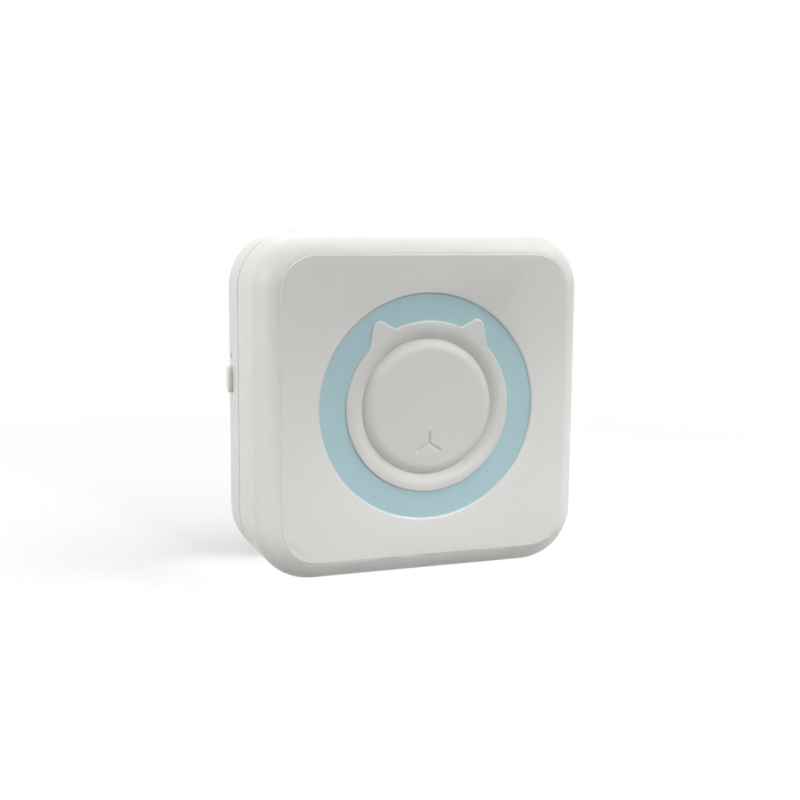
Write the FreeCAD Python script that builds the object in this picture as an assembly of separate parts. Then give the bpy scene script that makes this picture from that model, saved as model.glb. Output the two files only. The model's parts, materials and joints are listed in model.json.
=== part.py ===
import FreeCAD, Part
import math
import os

os.makedirs("parts", exist_ok=True)

Vec = FreeCAD.Vector
ALONG_X = Vec(1, 0, 0)
ALONG_Y = Vec(0, 1, 0)
ALONG_Z = Vec(0, 0, 1)

# Frame: millimetres, X to the right, Y to the back, Z up, origin under the middle of the case.

# Case
width = 85.0
height = 85.0
depth = 39.0
wall = 2.0
front_wall = 3.0
corner_radius = 14.2
front_round = 5.1
front_bend = 8.5
back_round = 7.5
rear_depth = 16.7
seam_gap = 0.4
face_step = 0.4
face_inset = 0.15
face_edge = 0.2

# Clearances between pieces
fit = 0.02
run = 0.05
clear = 0.3
seat = 0.05

# Overlap of joined solids, run of cutters past a face, and what counts as the same place
join = 0.2
cut_over = 1.0
same = 0.001

# Face emblem
ring_radius = 27.9
head_radius = 21.25
disc_radius = 16.8
pocket_depth = 1.7
pocket_edge = 0.5
ring_drop = 0.55
badge_proud = 0.1
groove_depth = 1.1
groove_width = 0.1
dish_width = 3.0
disc_proud = 0.4
disc_crown = 2.8
disc_drop = 1.4
ear_tip_x = 12.6
ear_tip_z = 19.45
ear_tip_radius = 1.95
ear_foot_radius = 0.5
ear_outer_angle = 44.0
ear_inner_angle = 65.5
ear_blend = 1.0
badge_edge = 0.45
mark_width = 1.2
mark_floor = 0.25
mark_depth = 0.5
mark_top = 6.5
mark_fork = 9.0
mark_spread = 2.8
mark_foot = 10.8

# Cover hinge
barrel_radius = 2.5
barrel_side = 2.3
hinge_gap = 0.45
hinge_pin_radius = 1.0
knuckle_length = 8.0
knuckle_end = 4.0
knuckle_side = 0.25
notch_reach = 3.3

# Paper roll and tray
side_room = 14.0
roll_room = 4.5
core_radius = 5.6
core_bore = 4.0
trough_play = 0.8
roll_seat_angle = -60.0
roll_side = 0.7
tray_wall = 1.4
cheek_wall = 1.5
cheek_over = 12.5
tray_back_gap = 1.2
drive_room = 33.8
under_share = 0.8
tray_lip = 1.2
guide_wall = 1.2
guide_head_gap = 1.5
pillar_radius = 2.3
pillar_sink = 0.5
pillar_motor_drop = 3.9
pillar_motor_gap = 0.5
pillar_hole_depth = 6.5
sensor_half = 2.0
sensor_height = 3.0
sensor_drop = 6.0
sensor_skin = 0.3
sensor_back = 1.6

# Platen and head
platen_radius = 4.75
platen_drop = 11.0
platen_short = 0.3
platen_shaft_radius = 1.5
nip_inset = 0.1
bush_radius = 2.4
bush_short = 0.1
substrate_wall = 0.8
substrate_short = 3.0
substrate_height = 9.4
glaze_radius = 1.2
glaze_proud = 0.1
sink_wall = 2.5
sink_short = 1.0
sink_under = 7.0
sink_over = 5.6
head_pin_radius = 1.2
head_pin_rise = 1.6
head_pin_short = 0.2
spring_length = 5.6
spring_radius = 1.7
spring_wire = 0.25
spring_turns = 5
spring_screw_gap = 7.0
spring_rise = 1.5

# Mechanism frame
frame_wall = 1.2
frame_top = 4.5
frame_front = 0.4
frame_back = 2.2
frame_plate_rise = 1.0
motor_plate_back = 0.7
frame_under = 10.0
frame_right_drop = 9.0
horn_half = 4.2
horn_reach = 1.0
frame_screw_in = 6.5

# Gears
tooth_module = 0.4
pressure_angle = 25.0
tooth_tip = 0.8
tooth_root = 1.05
least_flank = 0.12
backlash = 0.07
mesh_slack = 0.05
platen_teeth = 26
idler_teeth = 22
reduction_small_teeth = 12
reduction_large_teeth = 26
pinion_teeth = 12
gear_width = 3.0
pinion_width = 2.6
gear_side = 0.5
idler_angle = -6.0
reduction_angle = -75.0
motor_angle = -88.0
stud_radius = 1.0
shaft_over = 0.2

# Motor
motor_radius = 6.5
motor_length = 13.0
motor_flange = 0.6
motor_collar = 0.6
motor_collar_radius = 2.2
motor_shaft_radius = 0.75
motor_ear_reach = 8.2
motor_ear_radius = 1.9
motor_ear_angle = 128.0

# Carrier in the cover
carrier_arm = 1.5
carrier_plate = 1.5
carrier_share = 0.45
carrier_height = 18.0
carrier_edge = 2.5
carrier_ring = 1.4
carrier_screw_in = 6.5
carrier_screw_drop = 11.0
carrier_boss_radius = 2.4
carrier_hole_floor = 0.4
bar_wall = 0.4
bar_over = 0.5
bar_height = 5.2
bar_drop = 0.3
bar_pitch = 2.0
bar_tooth = 0.7
bar_rib = 1.6
slot_over = 1.5
slot_width = 1.8

# Power key on the left wall
key_rise = 4.9
key_back = 9.0
key_height = 6.9
key_width = 3.0
key_proud = 1.1
key_gap = 0.15
key_flange = 1.0
key_flange_edge = 0.9
key_travel = 0.4
key_edge = 0.5
switch_size = 6.0
switch_height = 3.4
plunger_radius = 1.7
plunger_height = 0.9
lamp_rise = 6.0
lamp_radius = 0.7
lamp_half = 0.8
lamp_height = 2.0
pipe_collar = 0.8
pipe_collar_edge = 0.6
key_board_wall = 1.0
key_board_half = 5.2
key_board_under = 6.8
key_board_over = 8.4
key_post_radius = 1.6
key_pip_radius = 0.6
key_pip = 0.3
key_post_side = 1.7
key_post_rise = 2.0

# Boards and battery
board_wall = 1.2
board_back_gap = 3.7
board_side = 12.5
board_bottom = 1.2
board_top_gap = 1.5
board_screw_in = 7.5
board_boss_radius = 2.3
chip_wall = 1.2
chip_size = 5.6
chip_reach = 0.4
connector_size = 3.0
connector_share = 0.3
connector_rise = 0.5
key_connector_wall = 2.0
key_connector_height = 2.8
ribbon_connector_edge = 1.0
ribbon_connector_drop = 1.0
battery_wall = 5.2
battery_side = 18.0
battery_top_gap = 2.5
battery_edge = 1.2
battery_board_gap = 1.4
battery_lead_inset = 1.0
pad_wall = 0.8
pad_inset = 2.0
charge_board_rise = 6.3
charge_board_height = 22.0
charge_board_side = 0.9
charge_board_width = 7.0
usb_rise = 9.0
usb_height = 8.94
usb_width = 3.2
usb_length = 7.3
usb_wall = 0.3
usb_floor = 1.0
usb_recess = 0.9
usb_gap = 0.25
usb_tongue_wall = 0.7
usb_tongue_half = 3.3
usb_tongue_short = 0.6

# Fasteners and leads
screw_radius = 0.8
screw_head_radius = 1.9
screw_head = 1.3
screw_hole = 0.85
drive_length = 0.62
drive_width = 0.12
drive_depth = 0.5
case_screw_length = 7.5
frame_screw_length = 4.2
board_screw_length = 3.8
motor_screw_length = 1.6
motor_screw_head_radius = 1.5
carrier_screw_short = 1.4
boss_radius = 2.6
boss_height = 1.5
lead_radius = 0.45
lead_bend = 1.6
lane_gap = 0.95
ribbon_lane = 3.0
ribbon_wall = 0.2
ribbon_turn_rise = 1.0

# Case planes
mid_z = height / 2
face_y = -depth / 2
back_y = depth / 2
seam_y = back_y - rear_depth
cover_edge_y = seam_y - seam_gap / 2
shell_edge_y = seam_y + seam_gap / 2
side_x = width / 2 - wall
face_inner_y = face_y + front_wall
back_inner_y = back_y - wall
top_inner_z = height - wall
barrel_half = width / 2 - corner_radius - barrel_side
knuckle_inner = barrel_half - knuckle_end - knuckle_length
hinge_y = shell_edge_y - hinge_gap - barrel_radius
hinge_z = barrel_radius

# Places of the roll and the tray
roll_width = width - 2 * side_room
roll_radius = depth / 2 - roll_room
trough_radius = roll_radius + trough_play
under_tray = under_share * (height - 2 * trough_radius - drive_room)
tray_bottom_z = wall + under_tray
trough_y = back_inner_y - tray_back_gap - tray_wall - trough_radius
trough_z = tray_bottom_z + tray_wall + trough_radius
roll_offset = trough_play - clear
roll_y = trough_y + roll_offset * math.cos(math.radians(roll_seat_angle))
roll_z = trough_z + roll_offset * math.sin(math.radians(roll_seat_angle))
cheek_in = roll_width / 2 + roll_side
cheek_out = cheek_in + cheek_wall
tray_front_y = shell_edge_y - tray_lip
guide_back_y = tray_front_y + guide_wall
guide_bottom_z = trough_z + math.sqrt(trough_radius ** 2 - (tray_front_y - trough_y) ** 2)

# Places of the head, the platen and the frame
nip_y = shell_edge_y + nip_inset
platen_y = nip_y - platen_radius
platen_z = height - platen_drop
platen_half = roll_width / 2 - platen_short
substrate_half = roll_width / 2 - substrate_short
sink_half = roll_width / 2 - sink_short
bar_half = roll_width / 2 + bar_over
slot_half = roll_width / 2 + slot_over
frame_screw_x = roll_width / 2 - frame_screw_in
spring_x = frame_screw_x - spring_screw_gap
carrier_screw_x = roll_width / 2 - carrier_screw_in
carrier_front_gap = carrier_share * (platen_y - platen_radius - face_inner_y)
carrier_face_y = face_inner_y + carrier_front_gap
frame_in = cheek_out + clear
frame_out = frame_in + frame_wall
head_face_y = nip_y + clear
sink_front_y = head_face_y + substrate_wall
sink_back_y = sink_front_y + sink_wall
sink_bottom_z = platen_z - sink_under
sink_top_z = platen_z + sink_over
guide_top_z = sink_bottom_z - guide_head_gap
head_pin_y = sink_front_y + sink_wall / 2
head_pin_z = sink_bottom_z + head_pin_rise
spring_z = platen_z + spring_rise
frame_plate_y = sink_back_y + spring_length
frame_plate_back_y = frame_plate_y + frame_wall
frame_top_z = height - frame_top
frame_bottom_z = platen_z - frame_under
frame_front_y = shell_edge_y + frame_front
frame_back_y = back_inner_y - frame_back
motor_plate_y = back_inner_y - motor_plate_back

# Planes of the gears and the motor
gear_plane_a = frame_out + gear_side
gear_plane_a_end = gear_plane_a + gear_width
gear_plane_b = gear_plane_a_end + gear_side
gear_plane_b_end = gear_plane_b + pinion_width
motor_flange_x = frame_in - motor_flange
motor_end_x = motor_flange_x - motor_length - motor_collar

# Places of the boards, the key and the leads
board_y = back_inner_y - board_back_gap - board_wall
board_back_y = board_y + board_wall
board_z = wall + board_bottom
board_half = width / 2 - board_side
board_height = under_tray - board_bottom - board_top_gap
board_screw_x = board_half - board_screw_in
connector_height = connector_share * board_height
battery_half = width / 2 - battery_side
battery_height = under_tray - pad_wall - battery_top_gap
battery_back_y = board_y - battery_board_gap
battery_front_y = battery_back_y - battery_wall
lead_y = board_y - connector_size / 2
lead_z = board_z + board_height / 2
channel_y = (trough_y + trough_radius + tray_wall + back_inner_y) / 2
key_y = back_y - key_back
key_z = mid_z + key_rise
key_flange_x = -side_x + clear
switch_face_x = key_flange_x + key_flange + seat + plunger_height
key_board_x = switch_face_x + switch_height
key_board_z = key_z - key_board_under
lamp_z = key_z + lamp_rise
charge_board_z = tray_bottom_z + charge_board_rise
charge_board_right = side_x - charge_board_side
charge_board_left = charge_board_right - charge_board_width
usb_z = charge_board_z + usb_rise
usb_y = board_y - usb_width / 2
usb_mouth_x = width / 2 - usb_recess


def mesh_distance(teeth_one, teeth_two):
    return tooth_module * (teeth_one + teeth_two) / 2 + mesh_slack


def step_from(y, z, distance, degrees):
    angle = math.radians(degrees)
    return y + distance * math.cos(angle), z + distance * math.sin(angle)


idler_y, idler_z = step_from(platen_y, platen_z, mesh_distance(platen_teeth, idler_teeth), idler_angle)
reduction_y, reduction_z = step_from(
    idler_y, idler_z, mesh_distance(idler_teeth, reduction_small_teeth), reduction_angle)
motor_y, motor_z = step_from(
    reduction_y, reduction_z, mesh_distance(reduction_large_teeth, pinion_teeth), motor_angle)

# Places of the tray pillars and of the leads beside them
pillar_end_y = back_inner_y - boss_height
pillar_lower_x = cheek_out + pillar_radius - pillar_sink
pillar_lower_z = tray_bottom_z + pillar_radius
pillar_upper_x = motor_end_x - pillar_radius - pillar_motor_gap
pillar_upper_z = motor_z - pillar_motor_drop
lane_x = pillar_upper_x - boss_radius - lead_radius - lane_gap
ribbon_half = lane_x - ribbon_lane


# Basic solids
def box(x0, x1, y0, y1, z0, z1):
    return Part.makeBox(x1 - x0, y1 - y0, z1 - z0, Vec(x0, y0, z0))


def rod_x(x0, x1, y, z, radius):
    return Part.makeCylinder(radius, x1 - x0, Vec(x0, y, z), ALONG_X)


def rod_y(y0, y1, x, z, radius):
    return Part.makeCylinder(radius, y1 - y0, Vec(x, y0, z), ALONG_Y)


def tube_x(x0, x1, y, z, bore, radius):
    return rod_x(x0, x1, y, z, radius).cut(rod_x(x0, x1, y, z, bore))


def whole(shape):
    return shape.Solids[0] if len(shape.Solids) == 1 else shape


def fuse(shapes):
    return whole(shapes[0].multiFuse(shapes[1:]).removeSplitter())


def edges_along(shape, axis):
    chosen = []
    for edge in shape.Edges:
        straight = edge.Curve.TypeId == "Part::GeomLine"
        if straight and abs(edge.tangentAt(edge.FirstParameter).dot(axis)) > 1 - same:
            chosen.append(edge)
    return chosen


def edges_at_y(shape, y):
    chosen = []
    for edge in shape.Edges:
        if all(abs(corner.Y - y) < same for corner in edge.Vertexes):
            chosen.append(edge)
    return chosen


def round_edges_at_y(shape, y, radius):
    chosen = []
    for edge in edges_at_y(shape, y):
        round_edge = edge.Curve.TypeId == "Part::GeomCircle"
        if round_edge and abs(edge.Curve.Radius - radius) < same:
            chosen.append(edge)
    return chosen


def slab(half_width, half_height, radius, y0, y1):
    block = box(-half_width, half_width, y0, y1, mid_z - half_height, mid_z + half_height)
    return block.makeFillet(radius, edges_along(block, ALONG_Y))


def hull_face(circles):
    """A flat face in the XZ plane bounded by the taut outline round circles listed anticlockwise."""
    count = len(circles)
    leave = []
    arrive = []
    for i in range(count):
        x1, z1, r1 = circles[i]
        x2, z2, r2 = circles[(i + 1) % count]
        heading = math.atan2(z2 - z1, x2 - x1)
        lean = math.acos((r1 - r2) / math.hypot(x2 - x1, z2 - z1))
        angle = heading - lean
        leave.append(angle)
        arrive.append(angle)
    edges = []
    for i in range(count):
        x, z, r = circles[i]
        start = arrive[i - 1]
        turn = (leave[i] - start) % (2 * math.pi)
        points = []
        for share in (0, 0.5, 1):
            angle = start + turn * share
            points.append(Vec(x + r * math.cos(angle), 0, z + r * math.sin(angle)))
        edges.append(Part.Arc(*points).toShape())
        x2, z2, r2 = circles[(i + 1) % count]
        end = Vec(x2 + r2 * math.cos(leave[i]), 0, z2 + r2 * math.sin(leave[i]))
        edges.append(Part.LineSegment(points[2], end).toShape())
    return Part.Face(Part.Wire(edges))


def hull_y(circles, y0, y1):
    face = hull_face(circles)
    face.translate(Vec(0, y0, 0))
    return face.extrude(Vec(0, y1 - y0, 0))


def tapered_hull_y(circles, y0, y1, narrowing):
    """A hull whose circles shrink by the narrowing from y0 to y1."""
    first = hull_face(circles)
    last = hull_face([(x, z, radius - narrowing) for x, z, radius in circles])
    first.translate(Vec(0, y0, 0))
    last.translate(Vec(0, y1, 0))
    return Part.makeLoft([first.OuterWire, last.OuterWire], True, True)


def hull_x(circles, x0, x1):
    """Circles are given as (y, z, radius)."""
    solid = hull_face(circles).extrude(Vec(0, x1 - x0, 0))
    solid.rotate(Vec(0, 0, 0), ALONG_Z, -90)
    mirrored = solid.mirror(Vec(0, 0, 0), ALONG_Y)
    mirrored.translate(Vec(x0, 0, 0))
    return mirrored


def screw(seat_point, axis, length, head_radius=screw_head_radius):
    head = Part.makeCylinder(head_radius, screw_head, Vec(0, 0, -screw_head))
    shank = Part.makeCylinder(screw_radius, length)
    long_half = head_radius * drive_length
    short_half = head_radius * drive_width
    floor_z = -screw_head * drive_depth
    drive = []
    for half_x, half_y in ((long_half, short_half), (short_half, long_half)):
        drive.append(box(-half_x, half_x, -half_y, half_y, -screw_head - cut_over, floor_z))
    solid = head.fuse(shank).cut(fuse(drive)).removeSplitter()
    solid.Placement = FreeCAD.Placement(seat_point, FreeCAD.Rotation(ALONG_Z, axis))
    return solid


def bent_path(points, bend):
    edges = []
    start = points[0]
    for i in range(1, len(points) - 1):
        corner = points[i]
        into = (corner - points[i - 1]).normalize()
        out = (points[i + 1] - corner).normalize()
        half = into.getAngle(out) / 2
        first = corner - into * (bend * math.tan(half))
        last = corner + out * (bend * math.tan(half))
        centre = corner + (out - into).normalize() * (bend / math.cos(half))
        middle = centre + (corner - centre).normalize() * bend
        edges.append(Part.LineSegment(start, first).toShape())
        edges.append(Part.Arc(first, middle, last).toShape())
        start = last
    edges.append(Part.LineSegment(start, points[-1]).toShape())
    return edges


def sweep(edges, profile):
    pipe = Part.BRepOffsetAPI.MakePipeShell(Part.Wire(edges))
    pipe.add(profile)
    pipe.build()
    pipe.makeSolid()
    return pipe.shape()


def lead(points):
    heading = points[1] - points[0]
    ring = Part.Wire([Part.Circle(points[0], heading, lead_radius).toShape()])
    return sweep(bent_path(points, lead_bend), ring)


def gear(x0, x1, y, z, teeth, turn, bore):
    """Involute spur gear along X with one tooth centred on the given angle in the YZ plane."""
    pressure = math.radians(pressure_angle)
    pitch_radius = tooth_module * teeth / 2
    base = pitch_radius * math.cos(pressure)
    tip = pitch_radius + tooth_tip * tooth_module
    root = pitch_radius - tooth_root * tooth_module
    if base - root < least_flank * tooth_module:
        root = max(root, base)
    flank_start = max(root, base)
    half_at_pitch = math.pi / (2 * teeth) - backlash / (2 * pitch_radius)
    flat = math.tan(pressure) - pressure

    def half_angle(radius):
        local = math.acos(min(1, base / radius))
        return half_at_pitch + flat - (math.tan(local) - local)

    def point(radius, angle):
        return Vec(x0, y + radius * math.cos(angle), z + radius * math.sin(angle))

    flank = [flank_start, (flank_start + tip) / 2, tip]
    step = 2 * math.pi / teeth
    edges = []
    for i in range(teeth):
        centre = turn + i * step
        rising = [point(r, centre - half_angle(r)) for r in flank]
        falling = [point(r, centre + half_angle(r)) for r in reversed(flank)]
        foot = half_angle(flank_start)
        valley = [point(root, centre + a) for a in (foot, step / 2, step - foot)]
        if root < flank_start:
            edges.append(Part.LineSegment(point(root, centre - foot), rising[0]).toShape())
        edges.append(Part.Arc(*rising).toShape())
        edges.append(Part.Arc(rising[2], point(tip, centre), falling[0]).toShape())
        edges.append(Part.Arc(*falling).toShape())
        if root < flank_start:
            edges.append(Part.LineSegment(falling[2], valley[0]).toShape())
        edges.append(Part.Arc(*valley).toShape())
    blank = Part.Face(Part.Wire(edges)).extrude(Vec(x1 - x0, 0, 0))
    return blank.cut(rod_x(x0 - cut_over, x1 + cut_over, y, z, bore))


def meshed_turn(teeth_one, turn_one, teeth_two, line_angle):
    """Angle for gear two so that its teeth sit in the gaps of gear one along the line of centres."""
    line = math.radians(line_angle)
    lag = (line - turn_one) % (2 * math.pi / teeth_one)
    return line + math.pi + math.pi / teeth_two + lag * teeth_one / teeth_two


# Case mouldings
def case_outside():
    front = face_y + face_step
    tip = front - front_bend + math.sqrt(front_bend ** 2 - (front_bend - front_round) ** 2)
    block = slab(width / 2, height / 2, corner_radius, tip, back_y)
    block = block.makeFillet(front_bend, edges_at_y(block, tip))
    block = block.common(box(-width, width, front, back_y, 0, height))
    return block.makeFillet(back_round, edges_at_y(block, back_y))


def case_inside():
    block = slab(side_x, height / 2 - wall, corner_radius - wall, face_inner_y, back_inner_y)
    block = block.makeFillet(front_round - wall, edges_at_y(block, face_inner_y))
    return block.makeFillet(back_round - wall, edges_at_y(block, back_inner_y))


def face_pad():
    half_width = width / 2 - front_round - face_inset
    half_height = height / 2 - front_round - face_inset
    pad = slab(half_width, half_height, corner_radius - front_round - face_inset, face_y, face_inner_y)
    return pad.makeFillet(face_edge, edges_at_y(pad, face_y))


def knuckle_spans():
    outer = knuckle_inner + knuckle_length
    return [(-outer, -knuckle_inner), (knuckle_inner, outer)]


def hinge_bore():
    return rod_x(-barrel_half, barrel_half, hinge_y, hinge_z, hinge_pin_radius + run)


def front_cover():
    front_half = box(-width, width, face_y - depth, cover_edge_y, -height, 2 * height)
    cover = case_outside().fuse(face_pad()).cut(case_inside()).common(front_half)
    pocket = rod_y(face_y - cut_over, face_y + pocket_depth, 0, mid_z, ring_radius)
    barrel = rod_x(-barrel_half, barrel_half, hinge_y, hinge_z, barrel_radius)
    under_axis = box(-width, width, hinge_y, back_y, -cut_over, hinge_z)
    under_axis = under_axis.cut(rod_x(-width, width, hinge_y, hinge_z, barrel_radius))
    cover = cover.cut(under_axis).cut(pocket)
    cover = cover.makeFillet(pocket_edge, round_edges_at_y(cover, face_y, ring_radius))
    added = [cover, barrel]
    for x, z in carrier_screw_places():
        added.append(rod_y(face_inner_y - join, carrier_face_y, x, z, carrier_boss_radius))
    rib_y = cover_edge_y - bar_rib
    added.append(box(-bar_half, bar_half, rib_y, cover_edge_y, height - bar_height, height - wall / 2))
    cover = fuse(added)
    removed = [hinge_bore()]
    for x0, x1 in knuckle_spans():
        top_z = hinge_z + barrel_radius + clear
        notch_y = hinge_y - notch_reach
        removed.append(box(x0 - knuckle_side, x1 + knuckle_side, notch_y, back_y, -cut_over, top_z))
    for x, z in carrier_screw_places():
        removed.append(rod_y(face_inner_y + carrier_hole_floor, carrier_face_y + cut_over, x, z, screw_hole))
    return cover.cut(fuse(removed))


def rear_shell():
    back_half = box(-width, width, shell_edge_y, back_y + depth, -height, 2 * height)
    shell = case_outside().cut(case_inside()).common(back_half)
    added = [shell]
    for x0, x1 in knuckle_spans():
        added.append(rod_x(x0, x1, hinge_y, hinge_z, barrel_radius))
        added.append(box(x0, x1, hinge_y, shell_edge_y + wall, 0, hinge_z))
    for x, z in case_screw_places():
        added.append(rod_y(pillar_end_y, back_y - wall / 2, x, z, boss_radius))
    for x, z in frame_screw_places():
        added.append(rod_y(frame_plate_back_y, back_y - wall / 2, x, z, boss_radius))
    for x, z in board_screw_places():
        added.append(rod_y(board_back_y, back_y - wall / 2, x, z, board_boss_radius))
    shell = fuse(added)
    removed = [hinge_bore()]
    slot_back_y = shell_edge_y + slot_width
    removed.append(box(-slot_half, slot_half, seam_y, slot_back_y, top_inner_z - cut_over, height + cut_over))
    for x, z in case_screw_places():
        removed.append(rod_y(seam_y, back_y + cut_over, x, z, screw_radius + run))
        removed.append(rod_y(back_y - screw_head - clear, back_y + cut_over, x, z, screw_head_radius + clear))
    for x, z in frame_screw_places() + board_screw_places():
        removed.append(rod_y(seam_y, back_y - wall / 2, x, z, screw_hole))
    removed.append(key_outline(-width, -side_x + cut_over, key_gap))
    removed.append(rod_x(-width, -side_x + cut_over, key_y, lamp_z, lamp_radius + run))
    removed.append(usb_outline(side_x - cut_over, width, usb_gap))
    return shell.cut(fuse(removed))


def hinge_pin():
    return rod_x(-barrel_half, barrel_half, hinge_y, hinge_z, hinge_pin_radius)


# Emblem on the face
def ear(side, grow, y0, y1):
    circles = []
    for degrees in (ear_outer_angle, ear_inner_angle):
        reach = head_radius - ear_foot_radius
        angle = math.radians(degrees)
        circles.append((reach * math.cos(angle), mid_z + reach * math.sin(angle), ear_foot_radius + grow))
    circles.insert(1, (ear_tip_x, mid_z + ear_tip_z, ear_tip_radius + grow))
    solid = hull_y(circles, y0, y1)
    if side < 0:
        solid = solid.mirror(Vec(0, 0, 0), ALONG_X)
    return solid


def head_prism(grow, y0, y1):
    plate = fuse([rod_y(y0, y1, 0, mid_z, head_radius + grow), ear(-1, grow, y0, y1), ear(1, grow, y0, y1)])
    feet = []
    for edge in edges_along(plate, ALONG_Y):
        x = edge.Vertexes[0].X
        z = edge.Vertexes[0].Z - mid_z
        on_round = abs(math.hypot(x, z) - head_radius - grow) < same
        if on_round and abs(x) > head_radius / 4 and z > head_radius / 4:
            feet.append(edge)
    return plate.makeFillet(ear_blend - grow, feet)


def crown_arc(flat_radius, edge_radius, top_y, drop):
    """Arc from a flat top down to an edge, as points (radius, y) with the top facing -Y."""
    run_out = edge_radius - flat_radius
    bend = (run_out ** 2 + drop ** 2) / (2 * drop)
    sweep_angle = math.asin(abs(run_out) / bend)
    points = []
    for share in (0, 0.5, 1):
        angle = sweep_angle * share
        points.append((flat_radius + math.copysign(bend * math.sin(angle), run_out),
                       top_y + bend * (1 - math.cos(angle))))
    return points


def cat_badge():
    floor_y = face_y + pocket_depth
    top_y = face_y - badge_proud
    groove_y = face_y + groove_depth
    disc_y = face_y - disc_proud
    groove_outer = disc_radius + groove_width
    plate = head_prism(0, top_y, floor_y)
    plate = plate.makeFillet(badge_edge, edges_at_y(plate, top_y))
    dish_outer = groove_outer + dish_width
    band = crown_arc(dish_outer, groove_outer, top_y, groove_y - top_y)
    crown = crown_arc(disc_radius - disc_crown, disc_radius, disc_y, disc_drop)

    def at(radius, y):
        return Vec(radius, y, mid_z)

    def arc(points):
        return Part.Arc(*[at(radius, y) for radius, y in points]).toShape()

    over_y = disc_y - cut_over
    corners = [at(*crown[0]), at(0, disc_y), at(0, over_y), at(dish_outer, over_y), at(*band[0])]
    edges = [Part.LineSegment(a, b).toShape() for a, b in zip(corners, corners[1:])]
    edges.append(arc(band))
    corners = [at(*band[2]), at(disc_radius, groove_y), at(*crown[2])]
    edges += [Part.LineSegment(a, b).toShape() for a, b in zip(corners, corners[1:])]
    edges.append(arc(crown))
    above = Part.Face(Part.Wire(Part.__sortEdges__(edges))).revolve(Vec(0, 0, mid_z), ALONG_Y, 360)
    disc = rod_y(disc_y - join, floor_y, 0, mid_z, groove_outer)
    badge = fuse([plate, disc]).cut(above)
    strokes = []
    slope = (mark_width - mark_floor) / 2 / mark_depth
    half = mark_width / 2 + slope * join
    fork = (0, mid_z - mark_fork, half)
    foot_z = mid_z - mark_foot
    for end in ((0, mid_z - mark_top, half), (-mark_spread, foot_z, half), (mark_spread, foot_z, half)):
        narrowing = slope * (mark_depth + join)
        strokes.append(tapered_hull_y([fork, end], disc_y - join, disc_y + mark_depth, narrowing))
    return badge.cut(fuse(strokes))


def accent_ring():
    floor_y = face_y + pocket_depth
    top_y = face_y + ring_drop
    ring = rod_y(top_y, floor_y, 0, mid_z, ring_radius - seat)
    return ring.cut(head_prism(seat, top_y - cut_over, floor_y + cut_over))


# Places shared by screws, bosses and holes
def case_screw_places():
    places = []
    for side in (-1, 1):
        places.append((side * pillar_lower_x, pillar_lower_z))
        places.append((side * pillar_upper_x, pillar_upper_z))
    return places


def frame_screw_places():
    return [(-frame_screw_x, platen_z), (frame_screw_x, platen_z)]


def board_screw_places():
    places = [(side * board_screw_x, board_z + board_height / 2) for side in (-1, 1)]
    charge_x = charge_board_left + charge_board_width / 4
    places.append((charge_x, charge_board_z + boss_radius))
    places.append((charge_x, charge_board_z + charge_board_height - boss_radius))
    return places


def carrier_screw_places():
    low_z = platen_z - carrier_screw_drop
    top_z = low_z + carrier_height - 2 * carrier_edge
    return [(side * carrier_screw_x, z) for side in (-1, 1) for z in (low_z, top_z)]


# Paper tray, roll and sensor
def paper_tray():
    front = box(-width, width, tray_front_y, back_y, -height, 2 * height)
    trough = tube_x(-cheek_out, cheek_out, trough_y, trough_z, trough_radius, trough_radius + tray_wall)
    parts = [trough.common(front)]
    parts.append(box(-cheek_out, cheek_out, tray_front_y, guide_back_y, guide_bottom_z, guide_top_z))
    cheek_back_y = pillar_end_y - clear
    cheek_top_z = trough_z + cheek_over
    lower_y = key_y - key_board_half
    upper_y = tray_front_y + join
    for side in (-1, 1):
        x0, x1 = sorted((side * cheek_in, side * cheek_out))
        parts.append(box(x0, x1, tray_front_y, cheek_back_y, tray_bottom_z, cheek_top_z))
        parts.append(rod_y(lower_y, pillar_end_y, side * pillar_lower_x, pillar_lower_z, pillar_radius))
        parts.append(rod_y(upper_y, pillar_end_y, side * pillar_upper_x, pillar_upper_z, pillar_radius))
    for y, z in key_post_places():
        parts.append(rod_x(key_board_x + key_board_wall, -cheek_out + join, y, z, key_post_radius))
        parts.append(rod_x(key_board_x - key_pip, -cheek_out + join, y, z, key_pip_radius))
    tray = fuse(parts)
    hole_y = pillar_end_y - pillar_hole_depth
    holes = [rod_y(hole_y, back_y, x, z, screw_hole) for x, z in case_screw_places()]
    holes.append(sensor_block(seat))
    return tray.cut(fuse(holes))


def sensor_block(grow):
    half = sensor_half + grow
    front_y = tray_front_y + sensor_skin - grow
    low_z = guide_top_z - sensor_drop - grow
    return box(-half, half, front_y, guide_back_y + sensor_back, low_z, low_z + sensor_height + 2 * grow)


def paper_sensor():
    return sensor_block(0)


def paper_roll():
    return tube_x(-roll_width / 2, roll_width / 2, roll_y, roll_z, core_radius, roll_radius)


def roll_core():
    return tube_x(-roll_width / 2, roll_width / 2, roll_y, roll_z, core_bore, core_radius - fit)


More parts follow.
